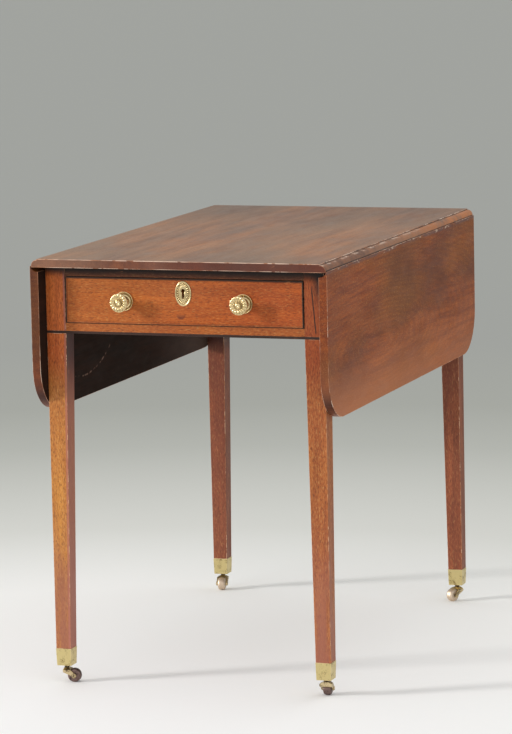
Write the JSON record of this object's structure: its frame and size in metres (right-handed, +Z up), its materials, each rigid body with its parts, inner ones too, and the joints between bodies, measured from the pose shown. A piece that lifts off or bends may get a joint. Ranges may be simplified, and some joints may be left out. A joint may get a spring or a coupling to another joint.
{
  "type": "pembroke table",
  "caption": "Rectangular pembroke table with hinged drop leaves on rule joints, fly brackets, a frieze drawer with brass knobs, tapered square legs and brass box casters.",
  "frame": {"origin": "on the floor, under the middle of the top", "axes": "+X to the right seen from the drawer, +Y from the drawer to the back, +Z up"},
  "size_m": [0.5074, 0.864, 0.711],
  "materials": {
    "top_mahogany": "worn french polish",
    "leaf_mahogany": "worn french polish",
    "mahogany": "waxed",
    "oak": "bare",
    "pine": "bare",
    "beech": "bare",
    "dark_inlay": "waxed",
    "gilt_brass": "lacquered",
    "knob_nut_brass": "dull",
    "caster_brass": "tarnished",
    "lock_brass": "dull",
    "iron": "dark"
  },
  "bodies": {
    "frame": {"caster_cups": "caster_brass", "drawer_bottom_rail": "mahogany", "drawer_kickers": "pine", "drawer_runners": "pine", "drawer_top_rail": "mahogany", "fly_bracket_pins": "iron", "frieze_stringing": "dark_inlay", "front_left_leg": "mahogany", "front_right_leg": "mahogany", "hinge_pins": "iron", "hinge_top_plates": "iron", "hinge_top_screws": "iron", "left_bracket_rail": "beech", "left_inner_rail": "pine", "rear_cockbead": "mahogany", "rear_knob_roses": "gilt_brass", "rear_knobs": "gilt_brass", "rear_left_leg": "mahogany", "rear_rail": "mahogany", "rear_right_leg": "mahogany", "right_bracket_rail": "beech", "right_inner_rail": "pine", "top_board": "top_mahogany", "top_holding_screws": "iron"},
    "left_leaf": {"left_leaf": "leaf_mahogany", "left_leaf_hinge_plates": "iron", "left_leaf_hinge_screws": "iron"},
    "right_leaf": {"right_leaf": "leaf_mahogany", "right_leaf_hinge_plates": "iron", "right_leaf_hinge_screws": "iron"},
    "drawer": {"drawer_front": "mahogany", "drawer_cockbead": "mahogany", "drawer_left_side": "oak", "drawer_right_side": "oak", "drawer_back": "oak", "drawer_bottom": "oak", "left_knob": "gilt_brass", "right_knob": "gilt_brass", "knob_roses": "gilt_brass", "knob_nuts": "knob_nut_brass", "escutcheon": "gilt_brass", "lock_case": "lock_brass"},
    "lock_bolt": {"lock_bolt": "lock_brass"},
    "front_left_fly_bracket": {"front_left_fly_bracket": "beech"},
    "front_left_caster": {"front_left_caster_horn": "caster_brass", "front_left_caster_axle": "caster_brass"},
    "front_left_wheel": {"front_left_caster_wheel": "caster_brass"},
    "front_right_fly_bracket": {"front_right_fly_bracket": "beech"},
    "front_right_caster": {"front_right_caster_horn": "caster_brass", "front_right_caster_axle": "caster_brass"},
    "front_right_wheel": {"front_right_caster_wheel": "caster_brass"},
    "rear_left_fly_bracket": {"rear_left_fly_bracket": "beech"},
    "rear_left_caster": {"rear_left_caster_horn": "caster_brass", "rear_left_caster_axle": "caster_brass"},
    "rear_left_wheel": {"rear_left_caster_wheel": "caster_brass"},
    "rear_right_fly_bracket": {"rear_right_fly_bracket": "beech"},
    "rear_right_caster": {"rear_right_caster_horn": "caster_brass", "rear_right_caster_axle": "caster_brass"},
    "rear_right_wheel": {"rear_right_caster_wheel": "caster_brass"}
  },
  "joints": [
    {"name": "left_leaf_fold", "type": "hinge", "parent": "frame", "child": "left_leaf", "pos_m": [-0.24225, 0, 0.6995], "axis": [0, 1, 0], "range_deg": [0, 90]},
    {"name": "right_leaf_fold", "type": "hinge", "parent": "frame", "child": "right_leaf", "pos_m": [0.24225, 0, 0.6995], "axis": [0, -1, 0], "range_deg": [0, 90]},
    {"name": "drawer_slide", "type": "slide", "parent": "frame", "child": "drawer", "axis": [0, -1, 0], "range_m": [0, 0.42]},
    {"name": "lock_bolt_throw", "type": "slide", "parent": "drawer", "child": "lock_bolt", "axis": [0, 0, 1], "range_m": [0, 0.006]},
    {"name": "front_left_fly_swing", "type": "hinge", "parent": "frame", "child": "front_left_fly_bracket", "pos_m": [-0.22495, -0.24, 0.64], "axis": [0, 0, 1], "range_deg": [0, 1.4]},
    {"name": "front_right_fly_swing", "type": "hinge", "parent": "frame", "child": "front_right_fly_bracket", "pos_m": [0.22495, -0.24, 0.64], "axis": [0, 0, -1], "range_deg": [0, 1.4]},
    {"name": "rear_left_fly_swing", "type": "hinge", "parent": "frame", "child": "rear_left_fly_bracket", "pos_m": [-0.22495, 0.24, 0.64], "axis": [0, 0, -1], "range_deg": [0, 1.4]},
    {"name": "rear_right_fly_swing", "type": "hinge", "parent": "frame", "child": "rear_right_fly_bracket", "pos_m": [0.22495, 0.24, 0.64], "axis": [0, 0, 1], "range_deg": [0, 1.4]},
    {"name": "front_left_caster_swivel", "type": "hinge", "parent": "frame", "child": "front_left_caster", "pos_m": [-0.226, -0.389, 0.029], "axis": [0, 0, 1], "continuous": true},
    {"name": "front_left_wheel_spin", "type": "hinge", "parent": "front_left_caster", "child": "front_left_wheel", "pos_m": [-0.2132, -0.38674, 0.0115], "axis": [-0.1736, 0.9848, 0], "continuous": true},
    {"name": "front_right_caster_swivel", "type": "hinge", "parent": "frame", "child": "front_right_caster", "pos_m": [0.226, -0.389, 0.029], "axis": [0, 0, 1], "continuous": true},
    {"name": "front_right_wheel_spin", "type": "hinge", "parent": "front_right_caster", "child": "front_right_wheel", "pos_m": [0.22487, -0.37605, 0.0115], "axis": [-0.9962, -0.0872, 0], "continuous": true},
    {"name": "rear_left_caster_swivel", "type": "hinge", "parent": "frame", "child": "rear_left_caster", "pos_m": [-0.226, 0.389, 0.029], "axis": [0, 0, 1], "continuous": true},
    {"name": "rear_left_wheel_spin", "type": "hinge", "parent": "rear_left_caster", "child": "rear_left_wheel", "pos_m": [-0.22374, 0.3762, 0.0115], "axis": [0.9848, 0.1736, 0], "continuous": true},
    {"name": "rear_right_caster_swivel", "type": "hinge", "parent": "frame", "child": "rear_right_caster", "pos_m": [0.226, 0.389, 0.029], "axis": [0, 0, 1], "continuous": true},
    {"name": "rear_right_wheel_spin", "type": "hinge", "parent": "rear_right_caster", "child": "rear_right_wheel", "pos_m": [0.22051, 0.37722, 0.0115], "axis": [0.9063, -0.4226, 0], "continuous": true}
  ]
}
